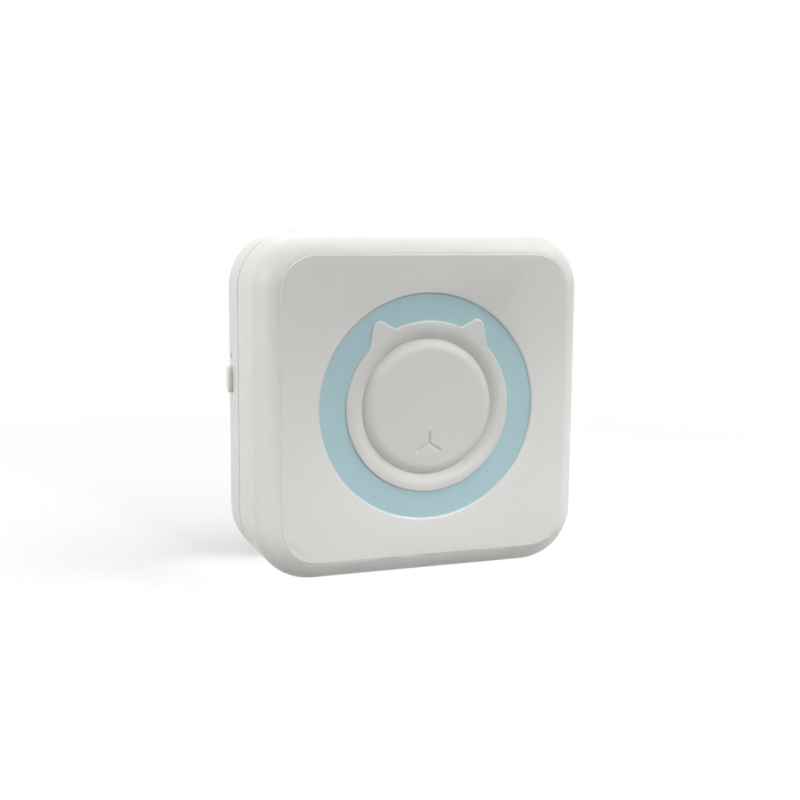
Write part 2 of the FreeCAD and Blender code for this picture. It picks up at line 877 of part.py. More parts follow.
# Mechanism frame, motor and gears
def mechanism_frame():
    plate_bottom_z = sink_bottom_z + frame_plate_rise
    parts = [box(-frame_out, frame_out, frame_plate_y, frame_plate_back_y, plate_bottom_z, frame_top_z)]
    right_bottom_z = motor_z - frame_right_drop
    parts.append(box(frame_in, frame_out, frame_front_y, motor_plate_y, right_bottom_z, reduction_z))
    for side in (-1, 1):
        x0, x1 = sorted((side * frame_in, side * frame_out))
        parts.append(box(x0, x1, frame_front_y, frame_back_y, frame_bottom_z, frame_top_z))
        horn_y = platen_y - horn_reach
        parts.append(box(x0, x1, horn_y, frame_front_y + join, platen_z - horn_half, platen_z + horn_half))
    frame = fuse(parts)
    slot_radius = bush_radius + clear
    removed = [rod_x(-width, width, platen_y, platen_z, slot_radius)]
    removed.append(box(-width, width, face_y, platen_y, platen_z - slot_radius, platen_z + slot_radius))
    removed.append(rod_x(-width, width, head_pin_y, head_pin_z, head_pin_radius + run))
    removed.append(rod_x(0, width, motor_y, motor_z, motor_shaft_radius + clear))
    removed.append(rod_x(0, width, idler_y, idler_z, stud_radius + fit))
    removed.append(rod_x(0, width, reduction_y, reduction_z, stud_radius + fit))
    for y, z in motor_screw_places():
        removed.append(rod_x(0, width, y, z, screw_hole))
    for x, z in frame_screw_places():
        removed.append(rod_y(seam_y, back_y, x, z, screw_radius + clear))
    return frame.cut(fuse(removed))


def motor_screw_places():
    first = step_from(motor_y, motor_z, motor_ear_reach, motor_ear_angle)
    second = step_from(motor_y, motor_z, -motor_ear_reach, motor_ear_angle)
    return [first, second]


def motor_can():
    can = rod_x(motor_flange_x - motor_length, motor_flange_x + join, motor_y, motor_z, motor_radius)
    ears = [(y, z, motor_ear_radius) for y, z in motor_screw_places()]
    flange = hull_x(ears, motor_flange_x, frame_in)
    collar = rod_x(motor_end_x, motor_flange_x, motor_y, motor_z, motor_collar_radius)
    bore_x = motor_flange_x - motor_length / 2
    removed = [rod_x(bore_x, frame_in + cut_over, motor_y, motor_z, motor_shaft_radius + run)]
    for y, z in motor_screw_places():
        removed.append(rod_x(motor_flange_x - cut_over, frame_in + cut_over, y, z, screw_radius + run))
    return fuse([can, flange, collar]).cut(fuse(removed))


def motor_shaft():
    start = motor_flange_x - motor_length / 2 + clear
    return rod_x(start, gear_plane_b_end + clear, motor_y, motor_z, motor_shaft_radius)


def gear_studs():
    studs = [rod_x(frame_in, gear_plane_a_end + shaft_over, idler_y, idler_z, stud_radius)]
    studs.append(rod_x(frame_in, gear_plane_b_end + shaft_over, reduction_y, reduction_z, stud_radius))
    return Part.makeCompound(studs)


def platen_gear():
    bore = platen_shaft_radius + fit
    return gear(gear_plane_a, gear_plane_a_end, platen_y, platen_z, platen_teeth, platen_turn, bore)


def idler_gear():
    return gear(gear_plane_a, gear_plane_a_end, idler_y, idler_z, idler_teeth, idler_turn, stud_radius + run)


def reduction_gear():
    y, z, bore = reduction_y, reduction_z, stud_radius + run
    small = gear(gear_plane_a, gear_plane_b, y, z, reduction_small_teeth, reduction_turn, bore)
    large = gear(gear_plane_b, gear_plane_b_end, y, z, reduction_large_teeth, reduction_turn, bore)
    return small.fuse(large)


def motor_pinion():
    bore = motor_shaft_radius + fit
    return gear(gear_plane_b, gear_plane_b_end, motor_y, motor_z, pinion_teeth, pinion_turn, bore)


platen_turn = 0.0
idler_turn = meshed_turn(platen_teeth, platen_turn, idler_teeth, idler_angle)
reduction_turn = meshed_turn(idler_teeth, idler_turn, reduction_small_teeth, reduction_angle)
pinion_turn = meshed_turn(reduction_large_teeth, reduction_turn, pinion_teeth, motor_angle)


# Print head
def head_heatsink():
    plate = box(-sink_half, sink_half, sink_front_y, sink_back_y, sink_bottom_z, sink_top_z)
    pin_end = frame_out - head_pin_short
    pins = [rod_x(-pin_end, -sink_half + join, head_pin_y, head_pin_z, head_pin_radius)]
    pins.append(rod_x(sink_half - join, pin_end, head_pin_y, head_pin_z, head_pin_radius))
    return fuse([plate] + pins)


def head_substrate():
    low_z = platen_z - substrate_height / 2
    plate_y = head_face_y + glaze_proud
    plate = box(-substrate_half, substrate_half, plate_y, sink_front_y, low_z, low_z + substrate_height)
    glaze = rod_x(-substrate_half, substrate_half, head_face_y + glaze_radius, platen_z, glaze_radius)
    return fuse([plate, glaze.common(box(-width, width, face_y, sink_front_y, 0, height))])


def helix_edges(x, y0, y1, z, radius, turns):
    """Quarter turns of a coil along Y, each made of two arcs that meet without a kink."""
    quarters = turns * 4
    rise = (y1 - y0) / quarters
    slope = rise / (math.pi / 2)

    def place(i):
        angle = i * math.pi / 2
        return Vec(x + radius * math.cos(angle), y0 + rise * i, z + radius * math.sin(angle))

    def heading(i):
        angle = i * math.pi / 2
        return Vec(-radius * math.sin(angle), slope, radius * math.cos(angle)).normalize()

    edges = []
    for i in range(quarters):
        start, end = place(i), place(i + 1)
        out, into = heading(i), heading(i + 1)
        chord = end - start
        along = chord.dot(out + into)
        spread = 2 * (1 - out.dot(into))
        reach = (math.sqrt(along ** 2 + spread * chord.dot(chord)) - along) / spread
        first = start + out * reach
        second = end - into * reach
        joint = (first + second) * 0.5
        for a, knee, b in ((start, first, joint), (joint, second, end)):
            half = (knee - a).getAngle(b - knee) / 2
            middle = (a + b) * 0.5
            share = math.cos(half) / (1 + math.cos(half))
            edges.append(Part.Arc(a, middle + (knee - middle) * share, b).toShape())
    return edges


def head_springs():
    springs = []
    y0 = sink_back_y + spring_wire + seat
    y1 = frame_plate_y - spring_wire - seat
    for x in (-spring_x, spring_x):
        edges = helix_edges(x, y0, y1, spring_z, spring_radius, spring_turns)
        start = Vec(x + spring_radius, y0, spring_z)
        heading = edges[0].tangentAt(edges[0].FirstParameter)
        ring = Part.Wire([Part.Circle(start, heading, spring_wire).toShape()])
        springs.append(sweep(edges, ring))
    return Part.makeCompound(springs)


# Platen and its carrier in the cover
def platen_shaft():
    return rod_x(-frame_out - clear, gear_plane_a_end + shaft_over, platen_y, platen_z, platen_shaft_radius)


def platen_rubber():
    return tube_x(-platen_half, platen_half, platen_y, platen_z, platen_shaft_radius + fit, platen_radius)


def platen_bushes():
    inner = platen_half + clear
    outer = frame_out - bush_short
    bore = platen_shaft_radius + run
    spans = ((-outer, -inner), (inner, outer))
    return Part.makeCompound([tube_x(a, b, platen_y, platen_z, bore, bush_radius) for a, b in spans])


def platen_carrier():
    outer = frame_in - clear
    inner = outer - carrier_arm
    front = carrier_face_y
    low_z = platen_z - carrier_screw_drop - carrier_edge
    top_z = low_z + carrier_height
    ring = bush_radius + carrier_ring
    parts = [box(-outer, outer, front, front + carrier_plate, low_z, top_z)]
    for side in (-1, 1):
        x0, x1 = sorted((side * inner, side * outer))
        parts.append(box(x0, x1, front, platen_y, platen_z - ring, platen_z + ring))
        parts.append(rod_x(x0, x1, platen_y, platen_z, ring))
    carrier = fuse(parts)
    holes = [rod_x(-width, width, platen_y, platen_z, bush_radius + fit)]
    for x, z in carrier_screw_places():
        holes.append(rod_y(front - cut_over, front + carrier_plate + cut_over, x, z, screw_radius + run))
    return carrier.cut(fuse(holes))


def tear_bar():
    top_z = height - bar_drop
    low_z = top_z - bar_height
    front = cover_edge_y
    count = int(2 * bar_half / bar_pitch)
    points = [Vec(-bar_half, front, low_z), Vec(-bar_half, front, top_z - bar_tooth)]
    for i in range(count):
        left = -bar_half + i * (2 * bar_half / count)
        points.append(Vec(left + bar_half / count, front, top_z))
        points.append(Vec(left + 2 * bar_half / count, front, top_z - bar_tooth))
    points.append(Vec(bar_half, front, low_z))
    points.append(points[0])
    return Part.Face(Part.makePolygon(points)).extrude(Vec(0, bar_wall, 0))


# Power key
def key_outline(x0, x1, grow):
    reach = (key_height - key_width) / 2
    radius = key_width / 2 + grow
    return hull_x([(key_y, key_z - reach, radius), (key_y, key_z + reach, radius)], x0, x1)


def power_key():
    outer_x = -width / 2 - key_proud
    cap = key_outline(outer_x, key_flange_x + key_flange / 2, 0)
    rim = [edge for edge in cap.Edges if all(abs(corner.X - outer_x) < same for corner in edge.Vertexes)]
    cap = cap.makeFillet(key_edge, rim)
    flange = key_outline(key_flange_x, key_flange_x + key_flange, key_flange_edge)
    return fuse([cap, flange])


def switch_plunger():
    start = key_flange_x + key_flange + seat
    return rod_x(start, start + plunger_height + clear, key_y, key_z, plunger_radius)


def tact_switch():
    half = switch_size / 2
    body = box(switch_face_x, key_board_x, key_y - half, key_y + half, key_z - half, key_z + half)
    well = key_travel + 2 * clear
    return body.cut(rod_x(switch_face_x - cut_over, switch_face_x + well, key_y, key_z, plunger_radius + run))


def key_post_places():
    reach = key_board_half - key_post_side
    return [(key_y - reach, key_board_z + key_post_rise), (key_y + reach, key_board_z + key_post_rise)]


def key_board():
    top_z = key_z + key_board_over
    end_x = key_board_x + key_board_wall
    board = box(key_board_x, end_x, key_y - key_board_half, key_y + key_board_half, key_board_z, top_z)
    return board.cut(fuse([rod_x(-width, 0, y, z, key_pip_radius + fit) for y, z in key_post_places()]))


def status_lamp():
    low_z = lamp_z - lamp_height / 2
    front_x = key_board_x - lamp_half
    return box(front_x, key_board_x, key_y - lamp_half, key_y + lamp_half, low_z, low_z + lamp_height)


def light_pipe():
    stem = rod_x(-width / 2, key_board_x - lamp_half - clear, key_y, lamp_z, lamp_radius)
    collar = rod_x(-side_x, -side_x + pipe_collar, key_y, lamp_z, lamp_radius + pipe_collar_edge)
    return fuse([stem, collar])


# Boards, battery and wiring
def main_board():
    board = box(-board_half, board_half, board_y, board_back_y, board_z, board_z + board_height)
    return board.cut(fuse([rod_y(seam_y, back_y, x, z, screw_radius + run) for x, z in board_screw_places()]))


def charge_board():
    top_z = charge_board_z + charge_board_height
    board = box(charge_board_left, charge_board_right, board_y, board_back_y, charge_board_z, top_z)
    return board.cut(fuse([rod_y(seam_y, back_y, x, z, screw_radius + run) for x, z in board_screw_places()]))


def board_chips():
    chips = []
    for place, share in ((-1, 1), (0, 0.7), (1, 0.85)):
        x = place * chip_reach * board_half
        half = share * chip_size / 2
        chips.append(box(x - half, x + half, board_y - chip_wall, board_y, lead_z - half, lead_z + half))
    return Part.makeCompound(chips)


def board_connectors():
    half = connector_height / 2
    parts = []
    for side in (-1, 1):
        x0, x1 = sorted((side * board_half, side * (board_half - connector_size)))
        parts.append(box(x0, x1, board_y - connector_size, board_y, lead_z - half, lead_z + half))
    low_z = charge_board_z + connector_rise
    left = charge_board_right - connector_size
    front = board_y - connector_size
    parts.append(box(left, charge_board_right, front, board_y, low_z, low_z + connector_size))
    low_z = key_board_z + connector_rise
    half = connector_size / 2
    left = key_board_x - key_connector_wall
    parts.append(box(left, key_board_x, lead_y - half, lead_y + half, low_z, low_z + key_connector_height))
    top_z = board_lead_z()
    back = back_inner_y - clear
    for x, half in ((0, ribbon_half + ribbon_connector_edge), (lane_x, connector_size / 2)):
        parts.append(box(x - half, x + half, board_back_y, back, top_z - connector_size, top_z))
    return Part.makeCompound(parts)


def board_lead_z():
    return board_z + board_height - ribbon_connector_drop


def usb_outline(x0, x1, grow):
    reach = (usb_height - usb_width) / 2
    radius = usb_width / 2 + grow
    return hull_x([(usb_y, usb_z - reach, radius), (usb_y, usb_z + reach, radius)], x0, x1)


def usb_socket():
    start = usb_mouth_x - usb_length
    cavity = usb_outline(start + usb_floor, usb_mouth_x + cut_over, -usb_wall)
    return usb_outline(start, usb_mouth_x, 0).cut(cavity)


def usb_tongue():
    half = usb_tongue_wall / 2
    start = usb_mouth_x - usb_length + usb_floor
    end = usb_mouth_x - usb_tongue_short
    return box(start, end, usb_y - half, usb_y + half, usb_z - usb_tongue_half, usb_z + usb_tongue_half)


def battery_cell():
    low_z = wall + pad_wall
    cell = box(-battery_half, battery_half, battery_front_y, battery_back_y, low_z, low_z + battery_height)
    return cell.makeFillet(battery_edge, edges_along(cell, ALONG_X))


def battery_pad():
    half = battery_half - pad_inset
    inset = battery_edge + seat
    return box(-half, half, battery_front_y + inset, battery_back_y - inset, wall, wall + pad_wall)


def key_leads():
    x = key_board_x - key_connector_wall / 2
    top_z = key_board_z + connector_rise
    return lead([Vec(x, lead_y, top_z), Vec(x, lead_y, lead_z), Vec(-board_half, lead_y, lead_z)])


def charge_leads():
    x = charge_board_right - connector_size / 2
    top_z = charge_board_z + connector_rise
    return lead([Vec(x, lead_y, top_z), Vec(x, lead_y, lead_z), Vec(board_half, lead_y, lead_z)])


def battery_leads():
    x = board_half - connector_size / 2
    y = (battery_front_y + battery_back_y) / 2 - battery_lead_inset
    plug_y = board_y - connector_size
    return lead([Vec(battery_half, y, lead_z), Vec(x, y, lead_z), Vec(x, plug_y, lead_z)])


def motor_leads():
    points = [Vec(motor_end_x, motor_y, motor_z), Vec(lane_x, motor_y, motor_z)]
    points += [Vec(lane_x, channel_y, motor_z), Vec(lane_x, channel_y, board_lead_z())]
    return lead(points)


def head_ribbon():
    top_z = sink_bottom_z - seat
    turn_z = motor_z + ribbon_turn_rise
    y = head_pin_y
    points = [Vec(0, y, top_z), Vec(0, y, turn_z)]
    points += [Vec(0, channel_y, turn_z), Vec(0, channel_y, board_lead_z())]
    half = ribbon_wall / 2
    corners = [Vec(-ribbon_half, y - half, top_z), Vec(ribbon_half, y - half, top_z)]
    corners += [Vec(ribbon_half, y + half, top_z), Vec(-ribbon_half, y + half, top_z)]
    return sweep(bent_path(points, lead_bend), Part.makePolygon(corners + corners[:1]))


# Fasteners
def screws(places, seat_y, axis, length):
    return Part.makeCompound([screw(Vec(x, seat_y, z), axis, length) for x, z in places])


def case_screws():
    return screws(case_screw_places(), back_y - clear - screw_head, -ALONG_Y, case_screw_length)


def frame_screws():
    return screws(frame_screw_places(), frame_plate_y, ALONG_Y, frame_screw_length)


def board_screws():
    return screws(board_screw_places(), board_y, ALONG_Y, board_screw_length)


def motor_screws():
    group = []
    for y, z in motor_screw_places():
        group.append(screw(Vec(motor_flange_x, y, z), ALONG_X, motor_screw_length, motor_screw_head_radius))
    return Part.makeCompound(group)


def carrier_screws():
    length = carrier_front_gap + carrier_plate - carrier_screw_short
    return screws(carrier_screw_places(), carrier_face_y + carrier_plate, -ALONG_Y, length)


pieces = [
    rear_shell, front_cover, accent_ring, cat_badge, hinge_pin,
    power_key, switch_plunger, tact_switch, key_board, status_lamp, light_pipe,
    paper_tray, paper_sensor, paper_roll, roll_core,
    mechanism_frame, motor_can, motor_shaft, motor_pinion, gear_studs, reduction_gear, idler_gear,
    head_heatsink, head_substrate, head_springs,
    platen_shaft, platen_rubber, platen_gear, platen_bushes, platen_carrier, tear_bar,
    main_board, board_chips, board_connectors, charge_board, usb_socket, usb_tongue,
    battery_cell, battery_pad, head_ribbon, motor_leads, battery_leads, key_leads, charge_leads,
    case_screws, frame_screws, board_screws, motor_screws, carrier_screws,
]
for piece in pieces:
    shape = whole(piece())
    print(piece.__name__, shape.ShapeType, len(shape.Solids), shape.isValid(), round(shape.Volume, 2))
    shape.exportStep("parts/" + piece.__name__ + ".step")
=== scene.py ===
import json
import math

import bmesh
import bpy
from mathutils import Matrix, Vector


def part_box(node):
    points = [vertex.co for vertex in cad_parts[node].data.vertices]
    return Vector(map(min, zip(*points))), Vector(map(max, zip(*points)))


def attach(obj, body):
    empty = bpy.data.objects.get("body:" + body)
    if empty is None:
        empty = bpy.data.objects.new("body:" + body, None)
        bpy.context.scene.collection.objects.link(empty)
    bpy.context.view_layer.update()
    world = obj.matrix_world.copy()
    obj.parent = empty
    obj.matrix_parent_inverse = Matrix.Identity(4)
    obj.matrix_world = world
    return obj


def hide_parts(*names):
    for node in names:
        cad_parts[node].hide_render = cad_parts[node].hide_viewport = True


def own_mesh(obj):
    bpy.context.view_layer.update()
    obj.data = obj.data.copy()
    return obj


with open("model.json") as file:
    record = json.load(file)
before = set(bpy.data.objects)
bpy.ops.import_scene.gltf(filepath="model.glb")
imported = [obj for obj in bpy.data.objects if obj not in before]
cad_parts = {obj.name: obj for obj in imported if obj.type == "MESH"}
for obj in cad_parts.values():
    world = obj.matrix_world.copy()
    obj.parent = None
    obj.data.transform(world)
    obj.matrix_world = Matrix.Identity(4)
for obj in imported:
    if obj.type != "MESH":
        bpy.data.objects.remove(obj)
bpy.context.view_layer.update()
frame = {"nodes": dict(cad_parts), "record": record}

nodes = frame["nodes"]
slotOf = {part["node"]: part["material_slot"] for part in frame["record"]["subparts"]}
mm = 0.001
print("frame loaded:", len(nodes), "nodes")


# one output socket, so that shader maths can be written as plain sums
class Wire:
    def __init__(self, tree, socket=None):
        self.tree = tree
        self.socket = socket

    def node(self, kind, settings=None, inputs=None, out=0):
        made = self.tree.nodes.new("ShaderNode" + kind)
        for name, value in (settings or {}).items():
            if name == "stops":
                stops = made.color_ramp.elements
                while len(stops) < len(value):
                    stops.new(0.5)
                for stop, (position, shade) in zip(stops, value):
                    stop.position = position
                    stop.color = (shade, shade, shade, 1)
            else:
                setattr(made, name, value)
        for name, value in (inputs or {}).items():
            if isinstance(value, Wire):
                self.tree.links.new(value.socket, made.inputs[name])
            else:
                made.inputs[name].default_value = value
        return Wire(self.tree, made.outputs[out]) if made.outputs else None

    def sums(self, operation, first, second):
        return self.node("Math", {"operation": operation}, {0: first, 1: second})

    def bare(self, operation):                 # sums of one value
        return self.node("Math", {"operation": operation}, {0: self})

    def __add__(self, other):
        return self.sums("ADD", self, other)

    def __sub__(self, other):
        return self.sums("SUBTRACT", self, other)

    def __rsub__(self, other):
        return self.sums("SUBTRACT", other, self)

    def __mul__(self, other):
        return self.sums("MULTIPLY", self, other)

    __radd__ = __add__
    __rmul__ = __mul__


def blankTree(block):                          # a material or world, emptied for its own nodes
    block.use_nodes = True
    block.node_tree.nodes.clear()
    return Wire(block.node_tree)


# texture helpers, all in object space, with sizes and depths in millimetres
def spot(start, stretch=(1, 1, 1)):
    here = start.node("TexCoord", out="Object")
    return start.node("Mapping", {}, {"Vector": here, "Scale": stretch})


def axes(start):
    here = start.node("SeparateXYZ", {}, {"Vector": spot(start)})
    return [Wire(start.tree, here.socket.node.outputs[i]) for i in range(3)]


def grain(start, size, detail=2.0, stretch=(1, 1, 1)):
    return start.node("TexNoise", {}, {
        "Vector": spot(start, stretch), "Scale": 1 / (size * mm), "Detail": detail})


def cells(start, size, feature="F1", stretch=(1, 1, 1)):
    return start.node("TexVoronoi", {"feature": feature}, {
        "Vector": spot(start, stretch), "Scale": 1 / (size * mm)})


bandPeriod = 0.314                             # of a wave texture at scale 1


def bands(start, pitch):
    return start.node("TexWave", {"wave_type": "BANDS", "bands_direction": "X"}, {
        "Vector": spot(start), "Scale": bandPeriod / (pitch * mm), "Distortion": 0.0})


def ramp(start, value, stops):
    return start.node("ValToRGB", {"stops": stops}, {"Fac": value})


def tint(start, mask, first, second):
    first = first if isinstance(first, Wire) else (*first, 1)
    return start.node("Mix", {"data_type": "RGBA"}, {0: mask, 6: first, 7: (*second, 1)}, 2)


def relief(start, height, depth, under=None):
    links = {"Height": height, "Strength": 1.0, "Distance": depth * mm}
    if under:
        links["Normal"] = under
    return start.node("Bump", {}, links)


# moulded case plastic: spark-eroded grain, flow tint, handled patches, small pits and hairline scratches
shellWhite = {"colour": (0.800, 0.801, 0.772), "aged": (0.757, 0.753, 0.718), "rough": 0.40, "spread": 0.16,
              "grain": 0.16, "depth": 0.006, "flow": 18, "handled": 7, "pits": 0.9, "scratch": 1.4,
              "ripple": 5, "rippleDepth": 0.02}
# the badge: the shell white painted darker, as shade for the lower light on it in its dish
shadedBadgeWhite = {**shellWhite, "colour": (0.722, 0.724, 0.697), "aged": (0.690, 0.687, 0.653)}
accentBlue = {**shellWhite, "colour": (0.450, 0.635, 0.680), "aged": (0.412, 0.600, 0.650), "rough": 0.42,
              "spread": 0.14, "depth": 0.005}


def mouldedPlastic(start, look):
    flow = grain(start, look["flow"], 3.0)
    handled = ramp(start, grain(start, look["handled"], 4.0), [(0.42, 0), (0.72, 1)])
    spark = grain(start, look["grain"], 2.0)
    pits = ramp(start, cells(start, look["pits"]), [(0.05, 1), (0.11, 0)])
    scratch = ramp(start, grain(start, look["scratch"], 3.0, (1, 1, 0.06)), [(0.69, 0), (0.74, 1)])
    shade = tint(start, flow * 0.55 + handled * 0.2, look["colour"], look["aged"])
    return {
        "Base Color": tint(start, pits * 0.16, shade, look["aged"]),
        "Roughness": look["rough"] + look["spread"] * (handled - 0.5) + 0.05 * spark - 0.06 * scratch,
        "Normal": relief(start, spark - 0.25 * scratch, look["depth"],
                         relief(start, grain(start, look["ripple"]), look["rippleDepth"])),
        "Specular IOR Level": 0.45,
    }


# darker inner mouldings with a coarser texture and rubbed high spots
innerGrey = {"colour": (0.105, 0.106, 0.112), "worn": (0.17, 0.17, 0.178), "rough": 0.58, "grain": 0.28,
             "patch": 4, "depth": 0.02}


def innerPlastic(start, look):
    spark = grain(start, look["grain"], 3.0)
    worn = ramp(start, grain(start, look["patch"], 5.0), [(0.52, 0), (0.74, 1)])
    return {
        "Base Color": tint(start, worn * 0.6, look["colour"], look["worn"]),
        "Roughness": look["rough"] - 0.16 * worn + 0.1 * spark,
        "Normal": relief(start, spark, look["depth"]),
    }


# plated sheet steel and screws: crystal bloom, rolling lines, dull spots
zincSteel = {"colour": (0.62, 0.615, 0.59), "dull": (0.47, 0.465, 0.44), "rough": 0.27, "bloom": 1.6,
             "lines": 0.5, "stain": 3, "depth": 0.012}
motorSteel = {**zincSteel, "colour": (0.43, 0.43, 0.44), "dull": (0.30, 0.30, 0.305), "rough": 0.33}


def platedSteel(start, look):
    bloom = start.node("TexVoronoi", {"feature": "SMOOTH_F1"}, {
        "Vector": spot(start), "Scale": 1 / (look["bloom"] * mm), "Smoothness": 0.4})
    lines = grain(start, look["lines"], 4.0, (0.05, 1, 1))
    stain = ramp(start, grain(start, look["stain"], 4.0), [(0.45, 0), (0.7, 1)])
    return {
        "Base Color": tint(start, bloom * 0.4 + stain * 0.5, look["colour"], look["dull"]),
        "Metallic": 0.96 - 0.12 * stain,
        "Roughness": look["rough"] + 0.15 * lines + 0.14 * stain,
        "Normal": relief(start, lines, look["depth"]),
    }


# extruded and milled aluminium
sinkAluminium = {"colour": (0.73, 0.735, 0.74), "dull": (0.58, 0.585, 0.59), "rough": 0.26, "lines": 0.35,
                 "film": 5, "depth": 0.015}


def milledAluminium(start, look):
    lines = grain(start, look["lines"], 4.0, (0.03, 1, 1))
    film = grain(start, look["film"], 3.0)
    return {
        "Base Color": tint(start, film * 0.7 + lines * 0.3, look["colour"], look["dull"]),
        "Metallic": 0.97 - 0.06 * film,
        "Roughness": look["rough"] + 0.22 * lines,
        "Normal": relief(start, lines, look["depth"]),
    }


# glazed print line on a ceramic strip, with the heater lines as fine stripes
headCeramic = {"colour": (0.33, 0.245, 0.175), "stripe": (0.60, 0.46, 0.22), "rough": 0.14, "pitch": 0.5,
               "cloud": 1.2, "depth": 0.008}


def glazedCeramic(start, look):
    stripes = ramp(start, bands(start, look["pitch"]), [(0.55, 0), (0.7, 1)])
    cloud = grain(start, look["cloud"], 4.0)
    return {
        "Base Color": tint(start, stripes * 0.55 + cloud * 0.1, look["colour"], look["stripe"]),
        "Metallic": stripes * 0.5,
        "Roughness": look["rough"] + 0.16 * cloud,
        "Normal": relief(start, stripes + cloud * 0.4, look["depth"]),
        "Coat Weight": 0.5 - 0.3 * stripes,
    }


# ground rubber sleeve: grinding rings round the shaft and paper dust
platenRubber = {"colour": (0.035, 0.035, 0.038), "dust": (0.20, 0.20, 0.195), "rough": 0.62, "rings": 0.25,
                "specks": 0.8, "depth": 0.03}


def groundRubber(start, look):
    rings = grain(start, look["rings"], 3.0, (1, 0.08, 0.08))
    dust = ramp(start, grain(start, look["specks"], 5.0), [(0.55, 0), (0.75, 1)])
    return {
        "Base Color": tint(start, dust * 0.4, look["colour"], look["dust"]),
        "Roughness": look["rough"] + 0.2 * dust + 0.1 * rings,
        "Normal": relief(start, rings, look["depth"]),
    }


# natural acetal gears and cream nylon plugs: slightly cloudy, with flow marks and grease
gearAcetal = {"colour": (0.80, 0.785, 0.72), "cloud": (0.70, 0.675, 0.58), "rough": 0.34, "grease": 0.20,
              "flow": 2.2, "smear": 1.1, "skin": 0.12, "depth": 0.01}
connectorCream = {**gearAcetal, "colour": (0.74, 0.70, 0.58), "cloud": (0.64, 0.59, 0.46), "rough": 0.46,
                  "grease": 0.06}


def cloudyNylon(start, look):
    cloud = grain(start, look["flow"], 4.0)
    grease = ramp(start, grain(start, look["smear"], 3.0), [(0.5, 0), (0.62, 1)])
    skin = grain(start, look["skin"], 2.0)
    return {
        "Base Color": tint(start, cloud, look["colour"], look["cloud"]),
        "Roughness": look["rough"] - look["grease"] * grease + 0.1 * skin,
        "Normal": relief(start, skin + cloud * 0.5, look["depth"]),
        "Subsurface Weight": 0.08,
        "Subsurface Radius": (0.001, 0.0009, 0.0006),
    }


# solder mask over copper runs, with bare tinned pads
boardGreen = {"mask": (0.018, 0.145, 0.060), "run": (0.040, 0.235, 0.095), "pad": (0.66, 0.62, 0.50),
              "rough": 0.30, "pitch": 3.2, "dots": 2.4, "weave": 0.4, "depth": 0.03}


def circuitBoard(start, look):
    runs = start.node("TexBrick", {}, {
        "Vector": spot(start), "Scale": 1 / (look["pitch"] * mm), "Mortar Size": 0.035, "Mortar Smooth": 0.1,
        "Brick Width": 0.9, "Row Height": 0.22}, "Fac")
    dots = ramp(start, cells(start, look["dots"]), [(0.10, 1), (0.13, 0)])
    weave = grain(start, look["weave"], 2.0)
    return {
        "Base Color": tint(start, dots, tint(start, runs, look["mask"], look["run"]), look["pad"]),
        "Metallic": dots * 0.8,
        "Roughness": look["rough"] + 0.1 * weave - 0.08 * dots,
        "Normal": relief(start, runs * 0.8 + dots + weave * 0.15, look["depth"]),
    }


# moulded epoxy packages and small black mouldings
chipBlack = {"colour": (0.022, 0.022, 0.024), "grey": (0.058, 0.058, 0.06), "rough": 0.50, "sand": 0.09,
             "film": 1.5, "depth": 0.012}


def mouldedEpoxy(start, look):
    sand = grain(start, look["sand"], 3.0)
    film = grain(start, look["film"], 3.0)
    return {
        "Base Color": tint(start, film * 0.6, look["colour"], look["grey"]),
        "Roughness": look["rough"] + 0.18 * sand - 0.08 * film,
        "Normal": relief(start, sand, look["depth"]),
    }


# aluminium laminate pouch with soft creases, painted darker along the creases as shade
batteryFoil = {"colour": (0.68, 0.69, 0.70), "crease": (0.52, 0.53, 0.545), "rough": 0.30, "folds": 9,
               "buckle": 2.5, "haze": 0.6, "depth": 0.05}


def pouchFoil(start, look):
    crease = cells(start, look["folds"], "DISTANCE_TO_EDGE", (0.5, 1, 1))
    fold = ramp(start, crease + grain(start, look["buckle"], 3.0) * 0.25, [(0.06, 0), (0.34, 1)])
    haze = grain(start, look["haze"], 4.0)
    return {
        # painted shade: the crease colour is laid along the fold lines
        "Base Color": tint(start, 0.7 - fold * 0.6 + haze * 0.2, look["colour"], look["crease"]),
        "Metallic": 0.9 - 0.1 * haze,
        "Roughness": look["rough"] + 0.14 * haze,
        "Normal": relief(start, fold + haze * 0.2, look["depth"]),
    }


# open-cell foam, painted darker in the pores as shade, with lighter cell rims
foamBlack = {"colour": (0.030, 0.030, 0.031), "rim": (0.085, 0.085, 0.088), "rough": 0.86, "cell": 0.45,
             "depth": 0.12}


def openFoam(start, look):
    holes = cells(start, look["cell"], "DISTANCE_TO_EDGE")
    rim = ramp(start, holes, [(0.04, 1), (0.22, 0)])
    return {
        # painted shade: the pores darker, the cell rims lighter
        "Base Color": tint(start, rim, look["colour"], look["rim"]),
        "Roughness": look["rough"] + 0.1 * rim,
        "Normal": relief(start, rim, look["depth"]),
    }


# coated thermal paper: a smooth, slightly mottled face with fibre flecks
paperWhite = {"colour": (0.855, 0.855, 0.835), "fibre": (0.775, 0.765, 0.725), "rough": 0.62, "fleck": 0.35,
              "mottle": 6, "depth": 0.008}


def thermalPaper(start, look):
    fleck = ramp(start, grain(start, look["fleck"], 5.0, (0.5, 1, 1)), [(0.55, 0), (0.72, 1)])
    mottle = grain(start, look["mottle"], 3.0)
    return {
        "Base Color": tint(start, fleck * 0.35 + mottle * 0.25, look["colour"], look["fibre"]),
        "Roughness": look["rough"] + 0.12 * mottle,
        "Normal": relief(start, fleck + mottle, look["depth"]),
    }


# brown board core: long fibres and pale specks
coreCardboard = {"colour": (0.430, 0.335, 0.235), "fibre": (0.560, 0.465, 0.350), "rough": 0.86,
                 "strand": 0.7, "speck": 0.8, "depth": 0.05}


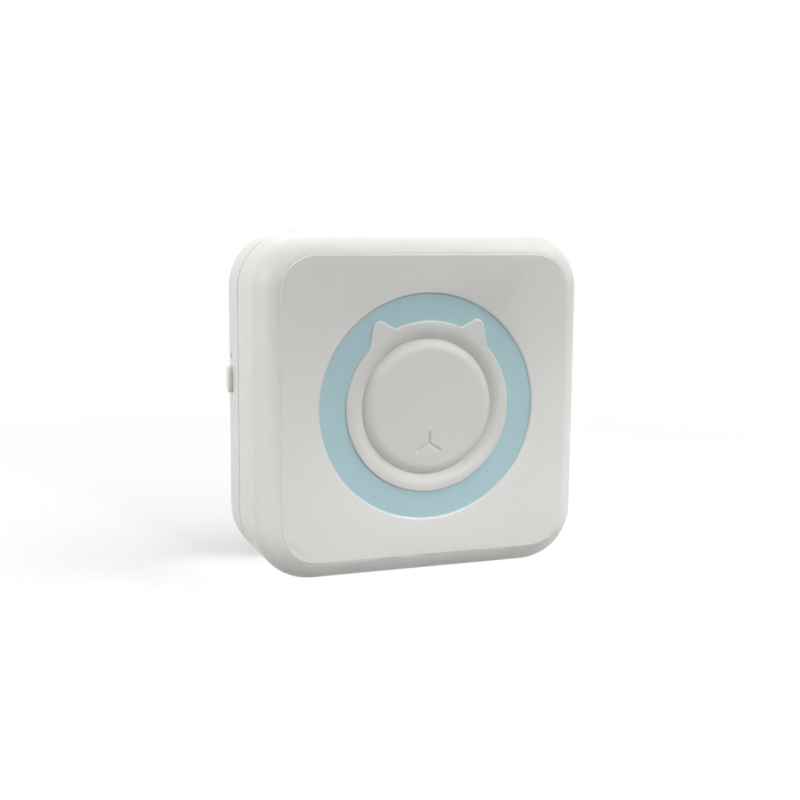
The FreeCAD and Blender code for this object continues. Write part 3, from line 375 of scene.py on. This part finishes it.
def fibreBoard(start, look):
    fibre = grain(start, look["strand"], 6.0, (0.35, 1, 1))
    speck = ramp(start, cells(start, look["speck"]), [(0.08, 1), (0.16, 0)])
    return {
        "Base Color": tint(start, fibre * 0.8 + speck * 0.2, look["colour"], look["fibre"]),
        "Roughness": look["rough"] + 0.1 * fibre,
        "Normal": relief(start, fibre, look["depth"]),
    }


# silicone insulated lead
leadRed = {"colour": (0.42, 0.035, 0.035), "bloom": (0.52, 0.10, 0.09), "rough": 0.44, "patch": 1.8,
           "skin": 0.1, "depth": 0.008}


def leadJacket(start, look):
    bloom = grain(start, look["patch"], 4.0)
    skin = grain(start, look["skin"], 2.0)
    return {
        "Base Color": tint(start, bloom * 0.8, look["colour"], look["bloom"]),
        "Roughness": look["rough"] + 0.15 * bloom,
        "Normal": relief(start, skin, look["depth"]),
    }


# polyimide ribbon with copper lines under the film
ribbonAmber = {"film": (0.46, 0.20, 0.035), "copper": (0.62, 0.33, 0.12), "rough": 0.24, "pitch": 1.0,
               "haze": 2.5, "depth": 0.02}


def flexRibbon(start, look):
    lines = ramp(start, bands(start, look["pitch"]), [(0.42, 0), (0.55, 1)])
    haze = grain(start, look["haze"], 3.0)
    return {
        "Base Color": tint(start, lines * 0.85 + haze * 0.1, look["film"], look["copper"]),
        "Roughness": look["rough"] + 0.12 * haze,
        "Normal": relief(start, lines + haze * 0.3, look["depth"]),
        "Coat Weight": 0.4 + 0.2 * haze,
    }


# smoked clear plastic over a lamp that is off
lampClear = {"colour": (0.060, 0.062, 0.066), "clear": (0.19, 0.195, 0.20), "rough": 0.16, "swirl": 0.6,
             "depth": 0.01}


def smokedClear(start, look):
    swirl = grain(start, look["swirl"], 4.0)
    return {
        "Base Color": tint(start, swirl, look["colour"], look["clear"]),
        "Roughness": look["rough"] + 0.16 * swirl,
        "Normal": relief(start, swirl, look["depth"]),
        "Coat Weight": 0.6 - 0.2 * swirl,
    }


# turned brass
bushBrass = {"colour": (0.66, 0.50, 0.22), "dull": (0.45, 0.33, 0.14), "rough": 0.24, "rings": 0.2,
             "tarnish": 1.6, "depth": 0.012}


def turnedBrass(start, look):
    rings = grain(start, look["rings"], 3.0, (1, 0.06, 0.06))
    tarnish = ramp(start, grain(start, look["tarnish"], 4.0), [(0.45, 0), (0.7, 1)])
    return {
        "Base Color": tint(start, tarnish * 0.7, look["colour"], look["dull"]),
        "Metallic": 0.96 - 0.1 * tarnish,
        "Roughness": look["rough"] + 0.16 * rings + 0.12 * tarnish,
        "Normal": relief(start, rings, look["depth"]),
    }


finishes = {
    "shell_white": (mouldedPlastic, shellWhite), "accent_blue": (mouldedPlastic, accentBlue),
    "inner_grey": (innerPlastic, innerGrey), "zinc_steel": (platedSteel, zincSteel),
    "motor_steel": (platedSteel, motorSteel), "sink_aluminium": (milledAluminium, sinkAluminium),
    "head_ceramic": (glazedCeramic, headCeramic), "platen_rubber": (groundRubber, platenRubber),
    "gear_acetal": (cloudyNylon, gearAcetal), "connector_cream": (cloudyNylon, connectorCream),
    "board_green": (circuitBoard, boardGreen), "chip_black": (mouldedEpoxy, chipBlack),
    "battery_foil": (pouchFoil, batteryFoil), "foam_black": (openFoam, foamBlack),
    "paper_white": (thermalPaper, paperWhite), "core_cardboard": (fibreBoard, coreCardboard),
    "lead_red": (leadJacket, leadRed), "ribbon_amber": (flexRibbon, ribbonAmber),
    "lamp_clear": (smokedClear, lampClear), "bush_brass": (turnedBrass, bushBrass),
}


def makeFinish(name, recipe, look):
    material = bpy.data.materials.new(name)
    start = blankTree(material)
    surface = start.node("BsdfPrincipled", {}, recipe(start, look))
    start.node("OutputMaterial", {}, {"Surface": surface})
    return material


materials = {slot: makeFinish(slot, *finishes[slot]) for slot in finishes}
# the badge takes the darker copy of the shell white, which is painted shade
ownFinish = {"cat_badge": makeFinish("badge_white_shaded", mouldedPlastic, shadedBadgeWhite)}
print("finishes made:", len(materials) + len(ownFinish))


# CAD nodes keep their shape: welded, with smooth faces and crisp edges
edges = {"crease": 28, "weld": 0.002}          # degrees and millimetres


def crispEdges(piece):
    split = piece.modifiers.new("crisp", "EDGE_SPLIT")
    split.split_angle = math.radians(edges["crease"])


for name, piece in nodes.items():
    piece.data.materials.clear()
    piece.data.materials.append(ownFinish.get(name, materials[slotOf[name]]))
    piece.data.polygons.foreach_set("use_smooth", [True] * len(piece.data.polygons))
    weld = piece.modifiers.new("weld", "WELD")
    weld.merge_threshold = edges["weld"] * mm
    crispEdges(piece)
print("CAD nodes dressed:", len(nodes))


# a piece of the scene that stands for CAD nodes
def addPiece(name, build, slot, body, *stoodFor):
    mesh = bpy.data.meshes.new(name)
    net = bmesh.new()
    build(net)
    bmesh.ops.recalc_face_normals(net, faces=net.faces)
    net.to_mesh(mesh)
    net.free()
    mesh.polygons.foreach_set("use_smooth", [True] * len(mesh.polygons))
    mesh.materials.append(materials[slot])
    piece = bpy.data.objects.new(name, mesh)
    bpy.context.scene.collection.objects.link(piece)
    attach(piece, body)
    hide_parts(*stoodFor)
    return piece


# foam pad under the cell: pressed in the middle, rounded at its cut edges
foamPad = {"across": 30, "along": 8, "sink": 0.12, "bulge": 0.10, "rim": 6, "waves": (9, 5), "fill": 0.8}


def buildPad(net):
    low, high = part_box("battery_pad")
    centre = (low + high) / 2
    half = (high - low) / 2
    last, end = foamPad["across"], foamPad["along"]
    waveU, waveV = foamPad["waves"]
    grid = {}
    for layer in range(3):
        for i in range(last + 1):
            for j in range(end + 1):
                u = 2 * i / last - 1
                v = 2 * j / end - 1
                w = layer - 1
                rim = max(abs(u), abs(v)) ** foamPad["rim"]
                shrink = 1 - foamPad["bulge"] * abs(w) * mm / half.y * rim
                ripple = 0.5 * (1 + math.sin(waveU * u) * math.sin(waveV * v))
                dip = foamPad["sink"] * (1 - rim) * ripple * mm
                top = half.z * w - (dip if w > 0 else 0)
                place = Vector((half.x * u, half.y * v * shrink, top))
                grid[layer, i, j] = net.verts.new(centre + place)
    for i in range(last):
        for j in range(end):
            for layer in (0, 2):
                corners = ((i, j), (i + 1, j), (i + 1, j + 1), (i, j + 1))
                net.faces.new([grid[layer, a, b] for a, b in corners])
    for k in (0, 1):
        for i in range(last):
            for j in (0, end):
                net.faces.new([grid[a, b, j] for a, b in ((k, i), (k, i + 1), (k + 1, i + 1), (k + 1, i))])
        for j in range(end):
            for i in (0, last):
                net.faces.new([grid[a, i, b] for a, b in ((k, j), (k, j + 1), (k + 1, j + 1), (k + 1, j))])


pad = addPiece("foamPad", buildPad, "foam_black", "body", "battery_pad")


# wound paper: layer steps on both ends, and the free edge of the last turn
woundPaper = {"turns": 26, "around": 120, "stagger": 0.16, "drift": 2.4, "gap": 0.08, "lip": 0.12}


def buildRoll(net):
    low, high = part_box("paper_roll")
    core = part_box("roll_core")
    centre = (low + high) / 2
    outer = (high.z - low.z) / 2
    inner = (core[1].z - core[0].z) / 2
    half = (high.x - low.x) / 2
    turns, around = woundPaper["turns"], woundPaper["around"]
    layer = (outer - inner) / turns
    gap = layer * woundPaper["gap"]
    profile = []                               # (half width, radius) from the core outwards
    for k in range(turns):
        sway = 0.5 + 0.5 * math.sin(k * woundPaper["drift"])
        inset = woundPaper["stagger"] * mm * sway * (1 if k < turns - 1 else 0)
        profile.append((half - inset, inner + layer * k + gap))
        profile.append((half - inset, inner + layer * (k + 1) - gap))
    loop = profile + [(-x, r) for x, r in reversed(profile)]
    outermost = profile[-1][1]
    rings = []
    for i in range(around):
        angle = 2 * math.pi * i / around
        ring = []
        for x, r in loop:
            reach = r - woundPaper["lip"] * mm * (i / around) * (1 if r == outermost else 0)
            place = Vector((x, reach * math.cos(angle), reach * math.sin(angle)))
            ring.append(net.verts.new(centre + place))
        rings.append(ring)
    for i in range(around):
        here, there = rings[i], rings[(i + 1) % around]
        for k in range(len(loop)):
            n = (k + 1) % len(loop)
            net.faces.new((here[k], here[n], there[n], there[k]))


roll = addPiece("woundPaper", buildRoll, "paper_white", "roll", "paper_roll")
crispEdges(roll)


# head springs: coils drawn closer at the ends
coilSprings = {"wire": 0.25, "turns": 5, "drawn": 0.45, "steps": 140, "sides": 10, "keep": 0.86}


def buildSprings(net):
    low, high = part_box("head_springs")
    wire = coilSprings["wire"] * mm
    coil = (high.z - low.z) / 2 - wire
    middle = (low + high) / 2
    reach = (high.x - low.x) / 2 - coil - wire
    steps, sides = coilSprings["steps"], coilSprings["sides"]
    length = high.y - low.y - 2 * wire
    for side in (-1, 1):
        rings = []
        for i in range(steps + 1):
            share = i / steps
            angle = 2 * math.pi * coilSprings["turns"] * share
            rise = share - coilSprings["drawn"] * math.sin(2 * math.pi * share) / (2 * math.pi)
            outward = Vector((math.cos(angle), 0, math.sin(angle)))
            place = Vector((side * reach, low.y + wire + length * rise, middle.z)) + coil * outward
            ring = []
            for k in range(sides):
                turn = 2 * math.pi * k / sides
                aside = math.cos(turn) * outward + math.sin(turn) * Vector((0, 1, 0))
                ring.append(net.verts.new(place + wire * aside))
            rings.append(ring)
        for here, there in zip(rings, rings[1:]):
            for k in range(sides):
                n = (k + 1) % sides
                net.faces.new((here[k], here[n], there[n], there[k]))
        net.faces.new(rings[0])
        net.faces.new(rings[-1])


springs = addPiece("coilSprings", buildSprings, slotOf["head_springs"], "body", "head_springs")
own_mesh(springs)
print("soft pieces made: foamPad, woundPaper, coilSprings")


# pale floor: white far out for the camera, with the shadow kept near the object, and
# sunken in front of it so that the cover has room to swing down
floorLook = {"colour": (0.90, 0.90, 0.90), "mottle": (0.88, 0.88, 0.88), "bounce": (0.30, 0.30, 0.30),
             "reach": 2.0, "near": 0.12, "far": 0.30, "grain": 3, "drop": 0.02}
well = {"half": 0.050, "front": -0.092, "back": 0.004, "depth": 0.030, "fade": 0.020}


def directRays(start):                         # 1 where the camera, a mirror or glass looks, else 0
    kinds = ("Is Camera Ray", "Is Glossy Ray", "Is Transmission Ray")
    seen, shiny, through = [start.node("LightPath", out=kind) for kind in kinds]
    return start.sums("MINIMUM", seen + shiny + through, 1.0)


def floorMesh():
    mesh = bpy.data.meshes.new("floor")
    net = bmesh.new()
    corners = ((-1, -1), (1, -1), (1, 1), (-1, 1))
    ends = {-1: well["front"], 1: well["back"]}
    outer = [net.verts.new((x * floorLook["reach"], y * floorLook["reach"], 0)) for x, y in corners]
    rim = [net.verts.new((x * well["half"], ends[y], 0)) for x, y in corners]
    base = [net.verts.new((x * well["half"], ends[y], -well["depth"])) for x, y in corners]
    for i in range(4):
        n = (i + 1) % 4
        net.faces.new((outer[i], outer[n], rim[n], rim[i]))
        net.faces.new((rim[i], rim[n], base[n], base[i]))
    net.faces.new(base)
    net.to_mesh(mesh)
    net.free()
    return mesh


def floorFinish():
    material = bpy.data.materials.new("floor")
    start = blankTree(material)
    x, y, _ = axes(start)
    away = (x * x + y * y).bare("SQRT")
    fade = start.node("MapRange", {"interpolation_type": "SMOOTHSTEP"}, {
        "Value": away, "From Min": floorLook["near"], "From Max": floorLook["far"]})
    middle = (well["back"] + well["front"]) / 2
    long = (well["back"] - well["front"]) / 2
    beside = x.bare("ABSOLUTE") - well["half"]
    beyond = (y - middle).bare("ABSOLUTE") - long
    beside = start.sums("MAXIMUM", beside, 0.0)
    beyond = start.sums("MAXIMUM", beyond, 0.0)
    gap = (beside * beside + beyond * beyond).bare("SQRT")
    sunken = start.node("MapRange", {"interpolation_type": "SMOOTHSTEP"}, {
        "Value": gap, "From Min": 0.0, "From Max": well["fade"], "To Min": 1.0, "To Max": 0.0})
    fade = start.sums("MAXIMUM", fade, sunken)
    shade = tint(start, grain(start, floorLook["grain"], 3.0), floorLook["colour"], floorLook["mottle"])
    matt = start.node("BsdfDiffuse", {}, {"Color": shade})
    white = start.node("Emission", {}, {"Color": (1, 1, 1, 1), "Strength": 1.0})
    bounce = start.node("BsdfDiffuse", {}, {"Color": (*floorLook["bounce"], 1)})
    looked = start.node("MixShader", {}, {0: fade, 1: matt, 2: white})
    mixed = start.node("MixShader", {}, {0: directRays(start), 1: bounce, 2: looked})
    start.node("OutputMaterial", {}, {"Surface": mixed})
    return material


floor = bpy.data.objects.new("floor", floorMesh())
bpy.context.scene.collection.objects.link(floor)
floor.location.z = -floorLook["drop"] * mm
floor.data.materials.append(floorFinish())
print("floor laid")


# white studio: a white background wherever it is seen, softer light for the rest
studio = {"ambient": 0.40}
world = bpy.data.worlds.new("studio")
bpy.context.scene.world = world
sky = blankTree(world)
level = studio["ambient"] + (1 - studio["ambient"]) * directRays(sky)
backdrop = sky.node("Background", {}, {"Color": (1, 1, 1, 1), "Strength": level})
sky.node("OutputWorld", {}, {"Surface": backdrop})

# soft boxes: powers in watts, and the spread that their grids leave in degrees
centreAim = (0, 0, 0.04)
lamps = {
    "keyBox": {"place": (0.264, -0.376, 0.426), "aim": centreAim, "size": (0.25, 0.20),
               "power": 0.52, "spread": 180},
    "rightBox": {"place": (0.362, -0.132, 0.500), "aim": centreAim, "size": (0.30, 0.30),
                 "power": 1.05, "spread": 180},
    "leftBox": {"place": (-0.580, 0.0, 0.195), "aim": centreAim, "size": (0.30, 0.30),
                "power": 1.45, "spread": 180},
    "topBox": {"place": (0.0, -0.021, 0.640), "aim": centreAim, "size": (0.40, 0.30),
               "power": 0.75, "spread": 180},
    "backBox": {"place": (0.080, 0.380, 0.480), "aim": centreAim, "size": (0.40, 0.30),
                "power": 0.90, "spread": 180},
    "lowStrip": {"place": (0.150, -0.580, 0.155), "aim": (0, -0.02, -0.005), "size": (0.25, 0.10),
                 "power": 0.037, "spread": 16},
}
for name, lamp in lamps.items():
    light = bpy.data.lights.new(name, "AREA")
    light.shape = "RECTANGLE"
    light.size, light.size_y = lamp["size"]
    light.energy = lamp["power"]
    light.spread = math.radians(lamp["spread"])
    box = bpy.data.objects.new(name, light)
    box.location = lamp["place"]
    toward = Vector(lamp["aim"]) - Vector(lamp["place"])
    box.rotation_euler = toward.to_track_quat("-Z", "Y").to_euler()
    bpy.context.scene.collection.objects.link(box)
print("studio lit:", len(lamps), "soft boxes")


# camera as the photograph was taken: a little from the left and above, angles in degrees
lens = {"place": (-0.1107, -0.3014, 0.0874), "yaw": 20.10, "pitch": -8.12, "roll": 0.44, "focal": 56.0,
        "sensor": 36.0, "near": 0.005}
view = bpy.data.cameras.new("view")
view.lens = lens["focal"]
view.sensor_width = lens["sensor"]
view.clip_start = lens["near"]
camera = bpy.data.objects.new("view", view)
yaw = Matrix.Rotation(-math.radians(lens["yaw"]), 4, "Z")
pitch = Matrix.Rotation(math.radians(90 + lens["pitch"]), 4, "X")
lean = Matrix.Rotation(math.radians(lens["roll"]), 4, "Z")
camera.matrix_world = Matrix.Translation(lens["place"]) @ yaw @ pitch @ lean
bpy.context.scene.collection.objects.link(camera)
bpy.context.scene.camera = camera
bpy.context.scene.view_settings.view_transform = "Standard"

bpy.context.view_layer.update()
